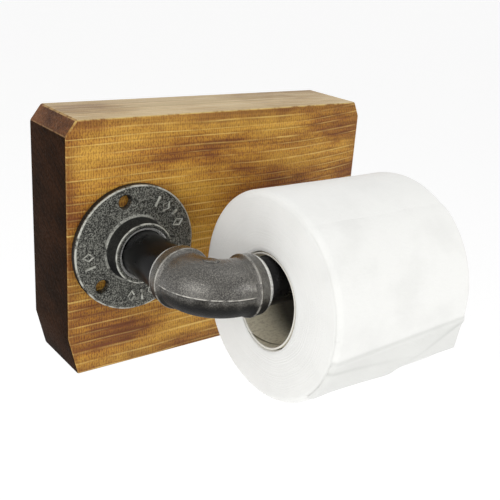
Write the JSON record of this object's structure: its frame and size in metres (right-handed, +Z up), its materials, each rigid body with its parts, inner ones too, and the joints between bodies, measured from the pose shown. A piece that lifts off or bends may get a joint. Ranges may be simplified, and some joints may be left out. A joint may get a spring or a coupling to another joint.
{
  "type": "toilet paper holder",
  "caption": "Wall-mounted toilet paper holder: a pipe arm with an elbow stands off a clipped pine block on a floor flange and carries a roll of tissue.",
  "frame": {"origin": "centre of the block's back face, which lies on the wall", "axes": "+Y into the wall, +X along the arm toward its end cap, +Z up"},
  "size_m": [0.22, 0.1853, 0.15],
  "materials": {
    "stained_pine": "satin",
    "cast_iron": "satin",
    "black_pipe": "gloss",
    "steel": "satin",
    "cardboard": "matte",
    "tissue": "matte"
  },
  "bodies": {
    "holder": {"backboard": "stained_pine", "floor_flange": "cast_iron", "flange_screw": "steel", "flange_nipple": "black_pipe", "elbow": "cast_iron", "arm_pipe": "black_pipe", "end_cap": "cast_iron"},
    "tail": {"paper_tail": "tissue"},
    "roll": {"cardboard_core": "cardboard", "paper_roll": "tissue"}
  },
  "joints": [
    {"name": "roll_slide", "type": "slide", "parent": "holder", "child": "tail", "axis": [0.9931, 0, 0.1172], "range_m": [0, 0.15]},
    {"name": "roll_spin", "type": "hinge", "parent": "tail", "child": "roll", "pos_m": [0.023, -0.125, -0.0102], "axis": [1, 0, 0], "continuous": true}
  ]
}
